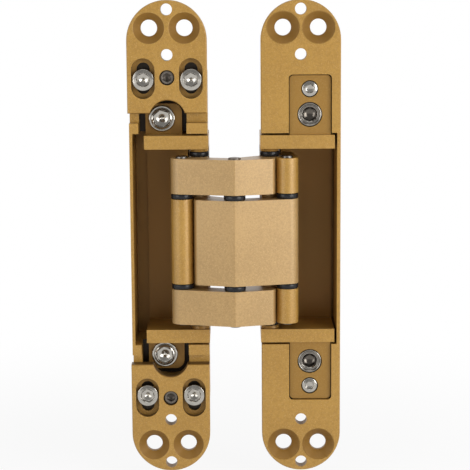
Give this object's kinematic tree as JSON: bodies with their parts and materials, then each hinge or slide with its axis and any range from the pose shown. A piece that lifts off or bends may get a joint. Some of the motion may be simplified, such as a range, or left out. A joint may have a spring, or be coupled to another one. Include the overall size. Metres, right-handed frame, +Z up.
{
  "type": "adjustable concealed door hinge",
  "caption": "Concealed door hinge opened flat: two long rounded leaves joined by crossing arms and links, with screws that set its height, side and depth.",
  "frame": {"origin": "centre of the jamb leaf's countersunk screw pattern, on the plane where its end plates seat in the door frame", "axes": "+X across from the jamb leaf to the door leaf, +Y into the wood, +Z up along the leaves"},
  "size_m": [0.0709, 0.0333, 0.16],
  "materials": {
    "bronze": "satin metallic gold coating on cast zinc",
    "nickel": "bright nickel-plated screw steel",
    "pin_steel": "ground steel pin",
    "black_steel": "blackened screw steel",
    "nylon": "black nylon"
  },
  "bodies": {
    "jamb_plates": {"jamb_end_plate_top": "bronze", "jamb_end_plate_bottom": "bronze", "plate_grub_screws": "black_steel"},
    "cup_carriage": {"jamb_cup": "bronze", "height_clamp_screws": "nickel", "side_clamp_screws": "nickel"},
    "jamb_carrier": {"jamb_yoke": "bronze", "jamb_arm_pin": "pin_steel", "jamb_link_pin": "pin_steel", "jamb_boss_washers": "nylon"},
    "centre_arm_set": {"centre_arm": "bronze", "outer_link_pin": "pin_steel", "outer_link_washers": "nylon"},
    "outer_arm_set": {"outer_arm": "bronze", "centre_pin": "black_steel", "centre_washers": "nylon", "centre_link_pin": "pin_steel", "centre_link_washers": "nylon"},
    "centre_link_set": {"centre_link": "bronze"},
    "outer_link_set": {"outer_link_upper": "bronze", "outer_link_lower": "bronze"},
    "door_carrier": {"door_yoke": "bronze", "door_arm_pin": "pin_steel", "door_link_pin": "pin_steel", "door_boss_washers": "nylon", "depth_lock_screws": "nickel"},
    "door_leaf": {"door_housing": "bronze"},
    "adjuster_top": {"depth_adjuster_top": "nickel"},
    "adjuster_bottom": {"depth_adjuster_bottom": "nickel"}
  },
  "joints": [
    {"name": "height_adjust", "type": "slide", "parent": "jamb_plates", "child": "cup_carriage", "axis": [0, 0, 1], "range_m": [-0.0025, 0.0025]},
    {"name": "side_adjust", "type": "slide", "parent": "cup_carriage", "child": "jamb_carrier", "axis": [1, 0, 0], "range_m": [-0.0014, 0.0014]},
    {"name": "fold", "type": "hinge", "parent": "jamb_carrier", "child": "centre_arm_set", "pos_m": [0.0104, -0.0002, 0], "axis": [0, 0, 1], "range_deg": [-113.95, 0]},
    {"name": "arm_cross", "type": "hinge", "parent": "centre_arm_set", "child": "outer_arm_set", "pos_m": [0.02218, -0.0102, 0], "axis": [0, 0, 1], "range_deg": [0, 47.93]},
    {"name": "door_pivot", "type": "hinge", "parent": "outer_arm_set", "child": "door_carrier", "pos_m": [0.03395, -0.0002, 0], "axis": [0, 0, 1], "range_deg": [-114, 0]},
    {"name": "centre_link_turn", "type": "hinge", "parent": "outer_arm_set", "child": "centre_link_set", "pos_m": [0.0046, -0.0052, 0], "axis": [0, 0, 1], "range_deg": [-20.57, 0]},
    {"name": "outer_link_turn", "type": "hinge", "parent": "centre_arm_set", "child": "outer_link_set", "pos_m": [0.03975, -0.0052, 0], "axis": [0, 0, 1], "range_deg": [0, 20.57]},
    {"name": "depth_adjust", "type": "slide", "parent": "door_carrier", "child": "door_leaf", "axis": [0, 1, 0], "range_m": [-0.001, 0.001]},
    {"name": "adjuster_top_turn", "type": "hinge", "parent": "door_leaf", "child": "adjuster_top", "pos_m": [0.04735, 0, 0.042], "axis": [0, 1, 0], "range_deg": [-360.1, 360.1]},
    {"name": "adjuster_bottom_turn", "type": "hinge", "parent": "door_leaf", "child": "adjuster_bottom", "pos_m": [0.04735, 0, -0.042], "axis": [0, 1, 0], "range_deg": [-360.1, 360.1]}
  ],
  "couplings": [
    {"joint": "arm_cross", "follows": "fold", "ratio": -0.42046},
    {"joint": "door_pivot", "follows": "fold", "ratio": 1},
    {"joint": "centre_link_turn", "follows": "fold", "ratio": 0.18046},
    {"joint": "outer_link_turn", "follows": "fold", "ratio": -0.18046},
    {"joint": "adjuster_top_turn", "follows": "depth_adjust", "rad_per_m": 6283.2},
    {"joint": "adjuster_bottom_turn", "follows": "depth_adjust", "rad_per_m": 6283.2}
  ]
}
